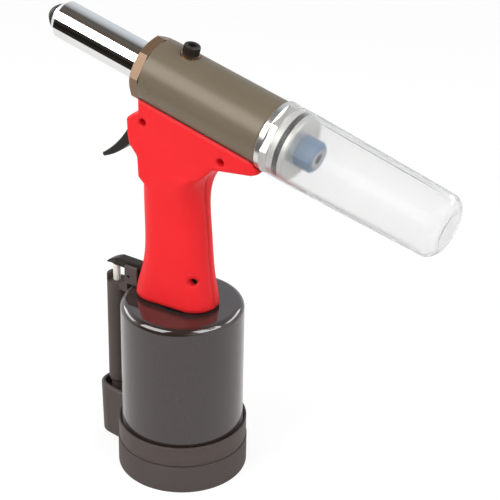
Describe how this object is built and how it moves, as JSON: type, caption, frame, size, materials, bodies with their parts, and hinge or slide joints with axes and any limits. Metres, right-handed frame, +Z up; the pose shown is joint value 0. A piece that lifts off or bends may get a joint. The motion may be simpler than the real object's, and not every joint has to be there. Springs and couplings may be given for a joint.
{
  "type": "pneumatic riveter",
  "caption": "Air-hydraulic blind riveter standing on its base, with red grip, tilted anodised head, chromed nose, black air cylinder and frosted mandrel collector",
  "frame": {"origin": "centre of the boot's underside, on the axis of the air cylinder", "axes": "+X towards the nose, +Y to the tool's left side, +Z up along the air cylinder; the underside faces -Z"},
  "size_m": [0.2869, 0.086, 0.3018],
  "materials": {
    "anodised": "satin",
    "polished_alloy": "polished",
    "nose_chrome": "polished",
    "black_steel": "satin",
    "black_gloss": "gloss",
    "black_matte": "matte",
    "boot_rubber": "matte",
    "seal_rubber": "satin",
    "grip_red": "satin",
    "trigger_black": "satin",
    "stem_ivory": "gloss",
    "collector_frost": "satin",
    "guide_grey": "gloss",
    "tool_steel": "satin",
    "spring_steel": "satin",
    "copper": "satin",
    "seat_brass": "satin"
  },
  "bodies": {
    "frame": {"head_body": "anodised", "rod_seal": "seal_rubber", "ram_seal": "seal_rubber", "oil_screw_washer": "copper", "oil_screw": "black_steel", "nose_housing": "nose_chrome", "nosepiece": "black_steel", "rear_cap": "polished_alloy", "collector_seal": "seal_rubber", "rear_cap_seal": "seal_rubber", "mandrel_guide": "guide_grey", "return_spring": "spring_steel", "air_cylinder": "black_gloss", "post_gasket": "seal_rubber", "post_nut": "tool_steel", "base_cap": "black_matte", "base_boot": "boot_rubber", "cylinder_seal": "seal_rubber", "valve_tube": "black_matte", "valve_seat": "seat_brass", "valve_plug": "seat_brass", "valve_spring": "spring_steel", "lever_pin": "black_steel", "trigger_pin": "tool_steel", "grip_left": "grip_red", "grip_right": "grip_red", "grip_screw_front": "black_steel", "grip_screw_tail": "black_steel", "grip_screw_lower": "black_steel"},
    "collector": {"collector": "collector_frost"},
    "air_ram": {"air_piston": "polished_alloy", "air_piston_seal": "seal_rubber", "ram": "tool_steel", "ram_nut": "tool_steel"},
    "puller": {"pull_piston": "tool_steel", "pull_piston_seal": "seal_rubber", "jaw_case": "tool_steel", "jaw_case_lock_ring": "tool_steel", "jaw_spring": "spring_steel"},
    "pusher": {"jaw_pusher": "tool_steel"},
    "jaw_1": {"jaw_1": "tool_steel"},
    "jaw_2": {"jaw_2": "tool_steel"},
    "jaw_3": {"jaw_3": "tool_steel"},
    "trigger": {"trigger": "trigger_black"},
    "pull_rod": {"pull_rod": "tool_steel"},
    "valve_lever": {"valve_lever": "black_steel"},
    "valve_stem": {"valve_stem": "stem_ivory", "poppet_seal": "seal_rubber"}
  },
  "joints": [
    {"name": "trigger_pull", "type": "hinge", "parent": "frame", "child": "trigger", "pos_m": [0.027, 0, 0.234], "axis": [0, 1, 0], "range_deg": [0, 14.28], "stiffness_Nm_per_rad": 0.6, "springref_deg": -20.05},
    {"name": "rod_lift", "type": "slide", "parent": "frame", "child": "pull_rod", "axis": [0, 0, 1], "range_m": [0, 0.00244]},
    {"name": "lever_tip", "type": "hinge", "parent": "frame", "child": "valve_lever", "pos_m": [0.04, 0, 0.1267], "axis": [0, 1, 0], "range_deg": [0, 6.21]},
    {"name": "stem_press", "type": "slide", "parent": "frame", "child": "valve_stem", "axis": [0, 0, -1], "range_m": [0, 0.00147], "deforming": ["valve_spring"]},
    {"name": "ram_stroke", "type": "slide", "parent": "frame", "child": "air_ram", "axis": [0, 0, 1], "range_m": [0, 0.055], "stiffness_N_per_m": 90, "springref_m": -0.12},
    {"name": "jaw_pull", "type": "slide", "parent": "frame", "child": "puller", "axis": [-0.972, 0, -0.2351], "range_m": [0, 0.01613], "deforming": ["return_spring"]},
    {"name": "pusher_advance", "type": "slide", "parent": "puller", "child": "pusher", "axis": [0.972, 0, 0.2351], "range_m": [0, 0.00306], "deforming": ["jaw_spring"]},
    {"name": "jaw_1_close", "type": "slide", "parent": "puller", "child": "jaw_1", "axis": [0.9952, 0, 0.0981], "range_m": [0, 0.00309]},
    {"name": "jaw_2_close", "type": "slide", "parent": "puller", "child": "jaw_2", "axis": [0.9463, 0.1201, 0.3003], "range_m": [0, 0.00309]},
    {"name": "jaw_3_close", "type": "slide", "parent": "puller", "child": "jaw_3", "axis": [0.9463, -0.1201, 0.3003], "range_m": [0, 0.00309]},
    {"name": "collector_pull_off", "type": "slide", "parent": "frame", "child": "collector", "axis": [-0.972, 0, -0.2351], "range_m": [0, 0.04]}
  ],
  "couplings": [
    {"joint": "trigger_pull", "follows": "rod_lift", "rad_per_m": 100},
    {"joint": "lever_tip", "follows": "rod_lift", "rad_per_m": 43.478},
    {"joint": "stem_press", "follows": "rod_lift", "ratio": 0.5913},
    {"joint": "jaw_pull", "follows": "ram_stroke", "ratio": 0.2875},
    {"joint": "pusher_advance", "follows": "ram_stroke", "ratio": 0.054545},
    {"joint": "jaw_1_close", "follows": "ram_stroke", "ratio": 0.055077},
    {"joint": "jaw_2_close", "follows": "ram_stroke", "ratio": 0.055077},
    {"joint": "jaw_3_close", "follows": "ram_stroke", "ratio": 0.055077}
  ]
}
